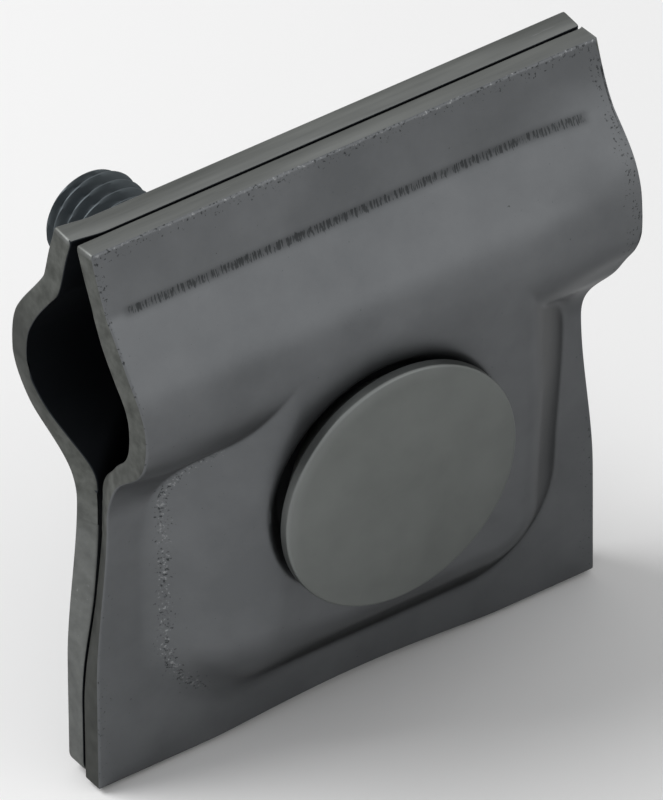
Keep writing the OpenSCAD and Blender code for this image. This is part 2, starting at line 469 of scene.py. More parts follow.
@dataclass(frozen=True)
class PlainMetal(MetalFinish):
    """A plated or bare steel surface with no marks of a press: faint clouds, fine scuffs, painted
    shade and painted highlight.
    """

    scuff_mm: float = 0.25
    stretch: float = 1.0  # how much longer a scuff is along the wire than across it
    bright: str = "8f9192"  # worn bare, also the painted highlight
    dull: str = "3a3b3a"  # painted shade on the end faces of the cut edges
    highlight_lift: float = 0.4  # how far the painted highlight brightens the metal between its scuffs

    def make(self) -> Material:
        """Builds the material.

        Returns:
            The material.
        """
        material, tree = new_material(self.name)
        where = add_node(tree, "ShaderNodeTexCoord").outputs["Object"]
        dark_marks_and_shade, highlight = (
            add_node(tree, "ShaderNodeAttribute", attribute_name=marking.value).outputs["Fac"]
            for marking in (WearAndShading.END_SHADE, WearAndShading.HIGHLIGHT))
        along = add_node(tree, "ShaderNodeMapping", {
            "Vector": where, "Scale": (1 / self.stretch, 1.0, 1.0)},
            vector_type="POINT").outputs["Vector"]
        cloud, scuff = (add_node(tree, "ShaderNodeTexNoise", {
            "Vector": along, "Scale": 1 / (size * MM), "Detail": detail,
            "Roughness": 0.6}).outputs["Fac"]
            for size, detail in ((self.cloud_mm, 4.0), (self.scuff_mm, 3.0)))
        # The painted highlight lightens the metal and gathers bright specks
        highlight_lift = add_node(tree, "ShaderNodeMath", {0: highlight, 1: self.highlight_lift},
                          operation="MULTIPLY").outputs[0]
        specks = spots(tree, scuff, [highlight], clean=0.85, full=0.46, soft=0.2)
        shine = add_node(tree, "ShaderNodeMath", {0: specks, 1: highlight_lift},
                         operation="MAXIMUM").outputs[0]
        self.surface(tree, cloud, scuff, [(dark_marks_and_shade, self.dull), (shine, self.bright)])
        return material


@dataclass(frozen=True)
class ZincHead(PlainMetal):
    """Zinc plating on the cold-headed, pressed face of the bolt."""

    # To the eye it is the smoothest face of the clamp, a shade greener than the sheet
    name: str = "zinc_plated_head"
    dark: str = "656866"
    light: str = "6f7270"


@dataclass(frozen=True)
class ZincThread(PlainMetal):
    """Blue passivated zinc on the rolled thread."""

    # To the eye it is cooler than the head, and darker as painted shade for the thread behind the
    # plates, with a broad, soft sheen on its flanks
    name: str = "blue_zinc_plated_thread"
    # Tones darker than the head's: painted shade on the thread behind the plates
    dark: str = "474d51"
    light: str = "585e61"
    rough_low: float = 0.48
    rough_high: float = 0.58


@dataclass(frozen=True)
class ZincHardware(PlainMetal):
    """Bright zinc plating on the stamped washers and the pressed nut."""

    # To the eye it is lighter and glossier than the sheet, because it is untouched
    name: str = "zinc_plated_hardware"
    dark: str = "686c70"
    light: str = "7a7e82"
    rough_low: float = 0.30
    rough_high: float = 0.42


@dataclass(frozen=True)
class ShearedEdge(PlainMetal):
    """The cut edge of the sheet, sheared and then plated over."""

    # To the eye it is matt and a little greener than the sheet, streaked by the drag of the shear
    name: str = "sheared_sheet_edge"
    dark: str = "484a47"
    light: str = "676966"
    rough_low: float = 0.46
    rough_high: float = 0.56
    cloud_mm: float = 1.1
    scuff_mm: float = 0.4
    stretch: float = 14.0
    relief: float = 0.25


def soft_max(a: np.ndarray, b: np.ndarray, k: Values) -> np.ndarray:
    """Joins two heights with a hollow round.

    Args:
        a: One height.
        b: The other height.
        k: Band over which the round goes.

    Returns:
        The larger of the two, with the hollow where they meet filled.
    """
    k = np.maximum(k, TINY)
    h = np.clip(0.5 + 0.5 * (a - b) / k, 0, 1)
    return b + (a - b) * h + k * h * (1 - h)


def soft_min(a: np.ndarray, b: np.ndarray, k: Values) -> np.ndarray:
    """Joins two heights with a ridge round: the smaller of the two, eased over a band k."""
    return -soft_max(-a, -b, k)


def ease(value: np.ndarray, start: float, full: float) -> np.ndarray:
    """Grows smoothly from 0 at start to 1 at full."""
    t = np.clip((value - start) / (full - start), 0, 1)
    return t * t * (3 - 2 * t)


def ease_to(value: np.ndarray, edge: float, start: float, full: float = 0.0) -> np.ndarray:
    """Grows smoothly from 0 to 1 before an edge, from start to full in front of it."""
    return ease(value, edge - start, edge - full)


def hill(value: np.ndarray, rise: Span, fall: Span) -> np.ndarray:
    """Grows smoothly from 0 to 1 over one span and fades again over the other."""
    return ease(value, *rise) * (1 - ease(value, *fall))


def swell(value: np.ndarray, bulge: Bulge) -> np.ndarray:
    """Height of a bulge at each place."""
    out, middle, reach = bulge
    return out * np.exp(-((value - middle) / reach) ** 2)


def round_band(turn_deg: float, radius: Values) -> Values:
    """The band k with which two flats at an angle meet in a round of about that radius."""
    turn = math.radians(turn_deg)
    return math.tan(turn) * math.sin(turn) * radius / 2


class Side(Enum):
    """Which of the two plates it is."""

    FRONT = "front"
    REAR = "rear"


@dataclass(frozen=True)
class PlateWearAndShading:
    """Where a plate is worn and where light and shade are painted on it, and how far, from 0 to
    1, with X as in the plate's own frame.
    """

    crease_z: float = 9.1  # the scored crease under the lip, with painted shade in its hollow
    crease_half: float = 0.45  # half its height
    crease_end_x: Span = (20.0, 20.9)
    scuff: Bulge = (0.9, 0.2, 0.65)  # the scuffed foot of the pad, by its rise over the sheet
    scuff_x: Span = (11, 13.5)
    scuff_z: Hill = ((-33, -29), (-6, -4.5))
    rim: float = 0.8  # the pitted rims
    rim_top: Span = (1.5, 0.3)  # inwards from the top
    rim_end: Span = (1.8, 0.3)  # inwards from an end
    rim_flange: float = 0.6  # the flange's share
    rim_flange_z: Span = (-12, -4)  # where its share grows to the whole
    highlight_top: float = 0.3  # painted highlight on the top of the lip
    highlight_depth: float = 0.45  # how far down that reaches
    highlight_arris: float = 0.0  # which of its long edges has the brightest painted highlight, 0 inner, 1 outer
    highlight_more: float = 0.5  # how much brighter that is
    highlight_fade: Span = (0.1, 0.5)  # and how far from it
    highlight_end: float = 0.0  # painted light on the flange's end face at -X
    shaded_end: float = 0.0  # painted shade on its other end face
    shaded_crest: Bulge = (0.0, 1.0, 4.0)  # painted shade on the crest's end face at -X
    end_depth: float = 2.0  # how deep the marks of an end face go
    end_flange_z: Span = (-16, -9)  # where those of the flange fade
    wall_side: float = 0.62  # painted shade on the pad's wall at its side
    wall_side_x: Span = (0, -6)
    wall_low: float = 0.9  # and at its foot
    wall_low_z: Span = (-24, -29)
    wall_below: float = 0.22  # the flange under it
    wall_below_z: Span = (-24, -28)
    wall_rise: Span = (-0.2, 0.4)  # by the pad's rise over the sheet
    wall_shade_stop_x: Span = (4, 11)  # where the painted shade on the wall stops
    inner_shade_z: Span = (-16, -8.5)  # painted shade on the inner face
    inner_shade_end: Span = (3.5, 1.0)  # and inwards from an end


@dataclass
class PressedPlate:
    """A plate pressed from a flat blank: flange, wire channel, lip, raised pad and round seat.

    It is made with its outer face towards +Y, and the front plate is then turned by 180 degrees.
    """

    side: Side
    finish: Material
    edge_finish: Material
    marking: PlateWearAndShading = PlateWearAndShading()
    smooth_deg: float = 40.0
    width: float = 45.6
    low_z: float = -35.9
    top_z: float = 14.1
    sheet: float = 2.0
    cell: float = 0.25  # grid spacing of the blank

    # The bends of the sheet
    wire_r: float = 5.8
    lower_slope: float = 46.0
    upper_slope: float = 32.0
    lip_slope: float = 17.0
    lip_gap: float = 0.1  # between the lip's inner edge and the mating plane
    bend_r: float = 1.5  # inner round of a bend
    foot_round_r: float = 6.5  # outer round where the channel runs into the flange

    # The raised pad, whose walls turn from one slope to the other round its corners
    pad_half: float = 17.95
    pad_shift: float = 1.05  # how far its middle lies towards -X
    pad_spread: float = 0.8  # how much wider one side is at its top
    pad_spread_z: Span = (-25, -11)
    pad_foot_z: float = -31.65
    pad_slope: float = 41.0  # of the side walls
    pad_foot_slope: float = 39.5
    pad_turn_deg: Span = (10, 80)
    pad_corner_r: float = 8.5
    pad_edge_r: float = 1.5
    pad_edge_soft: float = 1.6  # how many radii rounder the edge is on one side
    pad_edge_soft_x: Span = (0, 12)
    pad_tilt: float = 2.73
    wall_depth: float = 1.2  # how far below its face the wall is a wall alone
    wall_z: Span = (-0.5, -3)  # how far down from the channel's axis
    foot_soft: float = 2.5  # how many radii rounder its foot is, low on one side
    foot_soft_x: Span = (4, 13)
    foot_soft_z: Span = (-16, -8)

    # The round seat, with the rounds of its floor and its mouth on either face
    seat_lip_r: float = 10.2
    seat_rise: float = 2.95
    seat_slope: float = 50.0
    seat_outer_r: Span = (0.6, 0.8)
    seat_inner_r: Span = (2.6, 0.3)
    square_hole: float = 8.6
    round_hole_r: float = 4.5
    hole_steps: int = 64

    # How the pressing has drawn the edges of the sheared blank
    half_width: float = 22.4  # on average
    side_reach: float = 9.0  # how far in from a side it is felt
    side_draw: float = 1.07  # how far each side is drawn in at the pad
    side_draw_z: Hill = ((-26, -11), (-9.5, 1))
    skew: float = 0.45  # how far the channel lies to one side of the flange
    skew_z: Span = (-9.5, -4)
    top_skew: Span = (0.1, -0.4)  # the same for both ends of the lip's top
    top_skew_z: Span = (6, 14)
    crest_skew: Bulge = (0.0, 0.5, 3.0)  # how much further one end of the crest lies
    wide_end: float = 0.0  # how much further the other end of the flange reaches
    flange_lean: float = 0.8  # how far the outer edge stands out past the inner one
    flange_lean_z: Hill = ((-29, -19), (-9, -3))
    crest_lean: float = 0.25  # the same the other way round, where the sheet is stretched
    crest_lean_z: Hill = ((-4, 0), (6, 9))
    foot_rise: float = 0.1  # how far the lower edge is drawn up at its ends
    foot_draw: float = 0.65  # and how much further in its middle
    foot_shift: float = 0.8  # how far that middle lies towards -X
    foot_reach: float = 13.0
    foot_curve: float = 1.5  # the power that eases the drawn-up line into the straight one
    foot_fade: float = 6.0  # height over which the draw dies away
    corner_r: float = 0.0  # round of one lower corner
    top_fall: float = 0.15  # how much lower the lip's inner edge is than its outer one

    # How the ends stand off the pressed form
    bulges: tuple[Bulge, ...] = ((0.5, 4.5, 3.0),)  # of the channel's end at -X
    bulge_reach: float = 9.0
    flare: float = 0.45  # how far that end of the lip stands out at its top
    flare_z: Span = (8, 12.5)
    flare_reach: float = 3.5
    end_gap: float = 0.14  # how far the flanges stand apart at their ends
    end_gap_x: Span = (7, 1)  # inwards from an end
    end_gap_more: float = 1.6  # how many times more towards the channel
    end_gap_more_z: Span = (-20, -10)
    end_gap_top_z: Span = (-7, -5)
    thin: Bulge = (0.0, -6.5, 2.2)  # how much thinner the sheet is at the end at +X
    thin_reach: float = 6.0

    # The arrises, and how the faces of the cut edges are told
    edge_round: float = 0.2
    arris_deg: float = 62.0  # edges sharper than this are rounded
    cut_facing: float = 0.8  # how squarely such a face looks sideways, up or down
    cut_side: float = 3.0  # how far in from a side it may lie
    cut_top: float = 1.0
    cut_foot: float = 2.0

    def channel_height(self, z: np.ndarray, grow: float) -> np.ndarray:
        """Height of the bent sheet without its pad.

        Args:
            z: Heights of the points.
            grow: 0 for the inner face, the sheet's thickness for the outer one.

        Returns:
            The distance of each point from the mating plane.
        """
        crest = self.wire_r + grow
        low, up, lip = (math.radians(a) for a in (self.lower_slope, self.upper_slope,
                                                  self.lip_slope))
        arc = np.sqrt(np.maximum(crest ** 2 - z ** 2, TINY))
        below = (crest + z * math.sin(low)) / math.cos(low)
        above = (crest - z * math.sin(up)) / math.cos(up)
        ridge = np.where(z < -crest * math.sin(low), below,
                         np.where(z > crest * math.sin(up), above, arc))
        inner_lip_z = self.top_z - self.sheet * math.sin(lip)
        reach = self.lip_gap * math.cos(lip) + inner_lip_z * math.sin(lip) + grow
        lip_line = (reach - z * math.sin(lip)) / math.cos(lip)
        hollow_r = self.bend_r + self.sheet - grow
        upper = soft_max(ridge, lip_line, round_band(self.upper_slope - self.lip_slope, hollow_r))
        foot_r = self.foot_round_r if grow > 0 else hollow_r
        lower = soft_max(ridge, np.full_like(z, grow), round_band(self.lower_slope, foot_r))
        return np.where(z > 0, upper, lower)

    def pad_height(self, x: np.ndarray, z: np.ndarray, grow: float) -> Pair:
        """Height of the raised pad.

        Args:
            x: Places along the wire, from the bolt.
            z: Heights of the points.
            grow: 0 for the inner face, the sheet's thickness for the outer one.

        Returns:
            The pad's height, and how surely a point is on its wall, from 0 to 1.
        """
        tilt = math.radians(self.pad_tilt)
        half = self.pad_half + self.pad_spread * ease(z, *self.pad_spread_z) * (x < 0)
        qx = np.abs(x + self.pad_shift) - (half - self.pad_corner_r)
        qz = (self.pad_foot_z + self.pad_corner_r) - z
        facing = np.degrees(np.arctan2(np.maximum(qz, 0), np.maximum(qx, TINY)))
        slope = np.radians(self.pad_slope + (self.pad_foot_slope - self.pad_slope)
                           * ease(facing, *self.pad_turn_deg))
        inside = (self.pad_corner_r - np.hypot(np.maximum(qx, 0), np.maximum(qz, 0))
                  - np.minimum(np.maximum(qx, qz), 0))
        wall = self.sheet + (inside * np.sin(slope) + grow - self.sheet) / np.cos(slope)
        face = (self.wire_r + grow) / math.cos(tilt) + z * math.tan(tilt)
        band = round_band(self.pad_slope, (self.pad_edge_r + grow)
                          * (1 + self.pad_edge_soft * ease(x, *self.pad_edge_soft_x)))
        on_wall = np.clip((face - wall) / self.wall_depth, 0, 1) * ease(z, *self.wall_z)
        # The face touches the crest at this height and goes no further up
        touch_z = -(self.wire_r + grow) * math.sin(tilt)
        return np.where(z < touch_z, soft_min(wall, face, band), 0), on_wall

    def press(self, x: np.ndarray, z: np.ndarray, grow: float) -> np.ndarray:
        """Height of the whole pressing.

        Args:
            x: Places along the wire, from the bolt.
            z: Heights of the points.
            grow: 0 for the inner face, the sheet's thickness for the outer one.

        Returns:
            The distance of each point from the mating plane.
        """
        outside = grow > 0
        bent = self.channel_height(z, grow)
        pad, on_wall = self.pad_height(x, z, grow)
        tilt, steep = math.radians(self.pad_tilt), math.radians(self.seat_slope)
        ring = np.hypot(x, z - BOLT_Z)
        cone = ((self.wire_r + self.sheet) / math.cos(tilt) + z * math.tan(tilt)
                + (ring - self.seat_lip_r) * math.tan(steep)
                - (self.sheet - grow) / math.cos(steep))
        floor = np.full_like(z, self.seat_rise + grow)
        floor_r, mouth_r = self.seat_outer_r if outside else self.seat_inner_r
        seat = soft_max(cone, floor, round_band(self.seat_slope, floor_r))
        mouth_band = round_band(self.seat_slope, mouth_r)
        foot_r = self.bend_r + self.sheet - grow
        if outside:
            foot_r = foot_r * (1 + self.foot_soft * ease(x, *self.foot_soft_x)
                               * (1 - ease(z, *self.foot_soft_z)))
        foot_band = round_band(self.pad_slope, foot_r) * on_wall
        if outside:
            return soft_min(soft_max(bent, pad, foot_band), seat, mouth_band)
        return soft_max(bent, soft_min(pad, seat, mouth_band), foot_band)

    def draw_edges(self, x: np.ndarray, z: np.ndarray, inner: np.ndarray) -> Pair:
        """Draws the blank's edges in, as the pressing of the pad has done.

        Args:
            x: Places along the wire.
            z: Heights.
            inner: True for a point of the inner face.

        Returns:
            The new places and heights.
        """
        half = self.width / 2
        drawn = self.side_draw * hill(z, *self.side_draw_z)
        lean = np.where(inner, self.flange_lean * hill(z, *self.flange_lean_z)
                        - self.crest_lean * hill(z, *self.crest_lean_z), 0)
        one_top, other_top = self.top_skew
        skew = (self.skew * ease(z, *self.skew_z)
                + (np.where(x < 0, one_top, other_top) - self.skew) * ease(z, *self.top_skew_z)
                + np.where(x > 0, swell(z, self.crest_skew), 0))
        near_side = ease_to(np.abs(x), half, self.side_reach)
        new_x = (x - np.sign(x) * near_side * (half - self.half_width + drawn + lean)
                 - near_side * (skew + np.where(x < 0, self.wide_end, 0)))
        new_x = np.clip(new_x, -half, half)
        off_middle = (x + self.foot_shift) / self.foot_reach
        rise = (self.foot_rise
                + self.foot_draw * np.maximum(0, 1 - off_middle ** 2) ** self.foot_curve)
        new_z = z + rise * (1 - ease(z, self.low_z, self.low_z + self.foot_fade))
        if self.corner_r:
            out_x = self.corner_r - self.half_width - new_x
            out_z = self.corner_r + self.low_z + self.foot_rise - new_z
            corner = (out_x > 0) & (out_z > 0)
            pull = np.where(corner, 1 - np.maximum(out_x, out_z)
                            / np.maximum(np.hypot(out_x, out_z), TINY), 0)
            new_x, new_z = new_x + out_x * pull, new_z + out_z * pull
        return new_x, new_z

    def end_form(self, x: np.ndarray, z: np.ndarray, inner: np.ndarray) -> np.ndarray:
        """How far the ends of the plate stand off the pressed form.

        Args:
            x: Places along the wire.
            z: Heights.
            inner: True for a point of the inner face.

        Returns:
            The distance outwards, for each point.
        """
        half, lip = self.width / 2, math.radians(self.lip_slope)
        stand = self.flare * ease(z, *self.flare_z) * ease_to(-x, half, self.flare_reach)
        for bulge in self.bulges:
            stand += swell(z, bulge) * ease_to(-x, half, self.bulge_reach)
        part = (self.end_gap * ease_to(np.abs(x), half, *self.end_gap_x)
                * (1 + self.end_gap_more * ease(z, *self.end_gap_more_z))
                * (1 - ease(z, *self.end_gap_top_z)))
        drawn = swell(z, self.thin) * ease_to(x, half, self.thin_reach)
        # The lip's inner face would cross the mating plane above the lip's gap
        hold = np.maximum(0, z - self.top_z + self.sheet * math.sin(lip)) * math.tan(lip)
        return stand + np.where(inner, part + hold, -drawn)

    def build(self) -> Object:
        """Presses the blank.

        Returns:
            The plate, in millimetres.
        """
        deselect_all()
        height = self.top_z - self.low_z
        columns, rows = round(self.width / self.cell), round(height / self.cell)
        bpy.ops.mesh.primitive_grid_add(x_subdivisions=columns, y_subdivisions=rows, size=1)
        plate = active_piece(f"{self.side.value}_pressed_plate")
        u, v, _ = read_points(plate).T
        write_points(plate, np.column_stack((u * self.width, v * height, 0 * u)))
        apply_modifier(plate, "SOLIDIFY", thickness=self.sheet, offset=-1.0)
        u, v, depth = read_points(plate).T
        inner = depth < -self.sheet / 2
        fraction = (v + height / 2) / height
        lowered = np.where(inner, self.top_fall, 0)
        z = self.low_z + fraction * (height - lowered)
        x, z = self.draw_edges(u, z, inner)
        y = np.where(inner, self.press(x, z, 0.0), self.press(x, z, self.sheet))
        y += self.end_form(x, z, inner)
        write_points(plate, np.column_stack((x, y, z)))
        make_active(plate)
        bpy.ops.object.mode_set(mode="EDIT")
        bpy.ops.mesh.select_all(action="SELECT")
        bpy.ops.mesh.normals_make_consistent(inside=False)
        bpy.ops.object.mode_set(mode="OBJECT")
        self.paint_edges(plate)
        apply_modifier(plate, "BEVEL", width=self.edge_round, segments=3, limit_method="ANGLE",
                       angle_limit=math.radians(self.arris_deg), use_clamp_overlap=False)
        self.pierce(plate)
        self.mark_wear_and_shading(plate)
        if self.side is Side.FRONT:
            x, y, z = read_points(plate).T
            write_points(plate, np.column_stack((-x, -y, z)))
        return plate

    def paint_edges(self, plate: Object) -> None:
        """Gives the cut edges their own finish.

        Args:
            plate: The plate, pressed but not yet pierced.
        """
        dress(plate, self.finish, self.edge_finish)
        nx, _, nz = np.abs(read_faces(plate, "normal")).T
        cx, _, cz = read_faces(plate, "center").T
        side = (nx > self.cut_facing) & (np.abs(cx) > self.width / 2 - self.cut_side)
        end = (nz > self.cut_facing) & ((cz > self.top_z - self.cut_top)
                                        | (cz < self.low_z + self.cut_foot))
        give_second_finish(plate, side | end)

    def pierce(self, plate: Object) -> None:
        """Pierces the hole in the seat: square in the front plate, round in the rear one.

        Args:
            plate: The pressed plate.
        """
        deselect_all()
        if self.side is Side.FRONT:
            bpy.ops.mesh.primitive_cube_add(size=self.square_hole)
            punch = active_piece("punch")
            points = read_points(punch)
        else:
            bpy.ops.mesh.primitive_cylinder_add(vertices=self.hole_steps,
                                                radius=self.round_hole_r, depth=self.square_hole)
            punch = active_piece("punch")
            x, y, z = read_points(punch).T
            points = np.column_stack((x, z, -y))
        write_points(punch, points + np.array([0, SEAT_Y - self.sheet / 2, BOLT_Z]))
        combine(plate, punch, "DIFFERENCE")

    def mark_wear_and_shading(self, plate: Object) -> None:
        """Writes on the plate's points how far each kind of wear, painted light and painted shade
        goes there.

        Args:
            plate: The pierced plate, before it is turned.
        """
        marks = self.marking
        x, y, z = read_points(plate).T
        across = np.abs(x)
        bent = self.channel_height(z, self.sheet)
        pad, on_wall = self.pad_height(x, z, self.sheet)
        rise = pad - bent
        at_one_end = x < marks.end_depth - self.half_width
        at_other_end = x > self.half_width - marks.end_depth
        flange = 1 - ease(z, *marks.end_flange_z)

        # The power of 4 gives the crease's painted shade an even tone with soft edges
        mark(plate, WearAndShading.CREASE, np.exp(-((z - marks.crease_z) / marks.crease_half) ** 4)
             * (1 - ease(across, *marks.crease_end_x)))
        mark(plate, WearAndShading.SCUFF, swell(rise, marks.scuff) * ease(x, *marks.scuff_x)
             * hill(z, *marks.scuff_z))
        share = marks.rim_flange + (1 - marks.rim_flange) * ease(z, *marks.rim_flange_z)
        mark(plate, WearAndShading.RIM, marks.rim * np.maximum(
            ease_to(z, self.top_z, *marks.rim_top),
            ease_to(across, self.half_width, *marks.rim_end) * share))

        # Painted highlight on the top of the lip, brightest along one arris, and painted light on
        # one end face
        lip_in = self.lip_gap + self.end_form(x, z, np.zeros_like(x, bool))
        lip_depth = self.sheet * math.cos(math.radians(self.lip_slope))
        off_arris = np.abs(y - (lip_in + lip_depth * marks.highlight_arris))
        highlight_top = (z > self.top_z - marks.highlight_depth) * (
            marks.highlight_top + marks.highlight_more * (1 - ease(off_arris, *marks.highlight_fade)))
        mark(plate, WearAndShading.HIGHLIGHT, np.maximum(highlight_top, marks.highlight_end * flange * at_one_end))
        # Painted shade on end faces of the flange and of the crest
        mark(plate, WearAndShading.END_SHADE, np.maximum(marks.shaded_end * flange * at_other_end,
                                          swell(z, marks.shaded_crest) * at_one_end))

        # Painted shade on the pad's walls that face down and to one side, and on the flange under
        # them
        side = marks.wall_side * ease(x, *marks.wall_side_x)
        low = marks.wall_low * ease(z, *marks.wall_low_z)
        below = marks.wall_below * ease(z, *marks.wall_below_z)
        mark(plate, WearAndShading.WALL, np.maximum(on_wall * np.maximum(side, low), below)
             * ease(rise, *marks.wall_rise) * (1 - ease(x, *marks.wall_shade_stop_x))
             * (y > self.sheet))
        # Painted shade on the inner face, up in the channel and inwards from the ends
        inside = y < (self.press(x, z, 0) + self.press(x, z, self.sheet)) / 2
        mark(plate, WearAndShading.INNER_SHADE, inside * np.maximum(
            ease(z, *marks.inner_shade_z), ease_to(across, self.half_width, *marks.inner_shade_end)))


@dataclass
class SaucerBolt:
    """The bolt: a flat round head on a cone, a square neck and a rolled thread."""

    head_finish: Material
    thread_finish: Material
    smooth_deg: float = 38.0
    head_r: float = 10.325
    head_h: float = 4.9
    dome: float = 0.5
    dome_points: int = 12
    rim: float = 0.95
    rim_round: float = 0.25
    rim_points: int = 6
    rim_back: float = 0.1  # chamfer behind the rim
    foot_r: float = 7.0
    head_steps: int = 160
    neck: float = 8.3
    neck_len: float = 4.0
    neck_root: float = 0.5  # how far the neck's solid stands in the head's
    neck_round: float = 0.35
    thread_from: float = 0.05  # how far past the neck the thread's finish begins
    thread_r: float = 4.0
    length: float = 36.5
    pitch: float = 1.25
    thread_depth: float = 0.6134  # in pitches, as on any metric thread
    crest_flat: float = 0.125  # in pitches
    flank: float = 0.70  # in pitches, both flanks together
    runout: float = 0.5  # how far before the neck's end the thread begins
    chamfer: float = 0.5
    around: int = 96
    turn_rows: int = 12  # rows of points in each turn of the thread
    highlight_rim: float = 0.5  # painted highlight on the rim, up and towards -X
    highlight_in: float = 0.35  # and how far in from it
    highlight_span: Span = (2, 13)

    def head(self) -> Object:
        """Turns the head.

        Returns:
            The head, with its foot at Z = 0 and its face at -Z.
        """
        face_z = -self.head_h
        back_z = face_z + self.dome + self.rim
        dome_r = (self.head_r ** 2 + self.dome ** 2) / (2 * self.dome)
        inner = self.head_r - self.rim_round
        crown = [(r, face_z + dome_r - math.sqrt(dome_r ** 2 - r ** 2))
                 for r in np.linspace(0, inner, self.dome_points)]
        centre_z = crown[-1][1] + self.rim_round
        rim = [(inner + self.rim_round * math.sin(a), centre_z - self.rim_round * math.cos(a))
               for a in np.linspace(0, math.pi / 2, self.rim_points)[1:]]
        low = [(self.head_r, back_z - self.rim_back), (self.head_r - self.rim_back, back_z),
               (self.foot_r, 0.0), (0.0, 0.0)]
        profile = [(float(r), float(z)) for r, z in crown + rim + low]
        return lathe("bolt", profile, self.head_steps)

    def shank(self) -> Object:
        """Rolls the thread on a plain shank.

        Returns:
            The shank, from Z = 0 upwards.
        """
        deselect_all()
        rows = round(self.length / self.pitch * self.turn_rows)
        bpy.ops.mesh.primitive_grid_add(x_subdivisions=self.around, y_subdivisions=rows, size=1)
        piece = active_piece("shank")
        u, v, _ = read_points(piece).T
        turn = (u + 0.5) * math.tau
        z = (v + 0.5) * self.length
        phase = (z / self.pitch - turn / math.tau) % 1.0
        # Flanks of 60 degrees between a flat crest and a root
        cut = self.thread_depth * self.pitch * np.clip(
            (np.abs(phase - 0.5) * 2 - self.crest_flat) / self.flank, 0, 1)
        begun = ease(z, self.neck_len - self.runout, self.neck_len + self.pitch)
        point_r = self.thread_r - np.maximum(z - (self.length - self.chamfer), 0)
        r = np.minimum(self.thread_r - cut * begun, point_r)
        write_points(piece, np.column_stack((r * np.cos(turn), r * np.sin(turn), z)))
        make_active(piece)
        bpy.ops.object.mode_set(mode="EDIT")
        bpy.ops.mesh.select_all(action="SELECT")
        bpy.ops.mesh.remove_doubles(threshold=WELD)
        bpy.ops.mesh.select_all(action="DESELECT")
        bpy.ops.mesh.select_non_manifold()
        bpy.ops.mesh.edge_face_add()
        bpy.ops.mesh.select_all(action="SELECT")
        bpy.ops.mesh.normals_make_consistent(inside=False)
        bpy.ops.object.mode_set(mode="OBJECT")
        return piece

    def square_neck(self) -> Object:
        """Makes the square neck with eased edges.

        Returns:
            The neck, with its root below Z = 0.
        """
        deselect_all()
        bpy.ops.mesh.primitive_cube_add(size=1)
        neck = active_piece("neck")
        x, y, z = read_points(neck).T
        write_points(neck, np.column_stack((
            x * self.neck, y * self.neck,
            (z + 0.5) * (self.neck_len + self.neck_root) - self.neck_root)))
        apply_modifier(neck, "BEVEL", width=self.neck_round, segments=3, limit_method="ANGLE")
        return neck

    def build(self) -> Object:
        """Joins head, neck and shank.

        Returns:
            The bolt, in millimetres.
        """
        bolt = self.head()
        combine(bolt, self.square_neck(), "UNION")
        combine(bolt, self.shank(), "UNION")
        along_bolt(bolt, -SEAT_Y)
        dress(bolt, self.head_finish, self.thread_finish)
        thread_y = self.neck_len - SEAT_Y + self.thread_from
        give_second_finish(bolt, read_faces(bolt, "center")[:, 1] > thread_y)
        x, _, z = read_points(bolt).T
        # Painted highlight on the side of the head's rim that faces up and towards -X
        at_rim = np.hypot(x, z - BOLT_Z) > self.head_r - self.highlight_in
        mark(bolt, WearAndShading.HIGHLIGHT, self.highlight_rim * ease(z - BOLT_Z - x, *self.highlight_span) * at_rim)
        return bolt


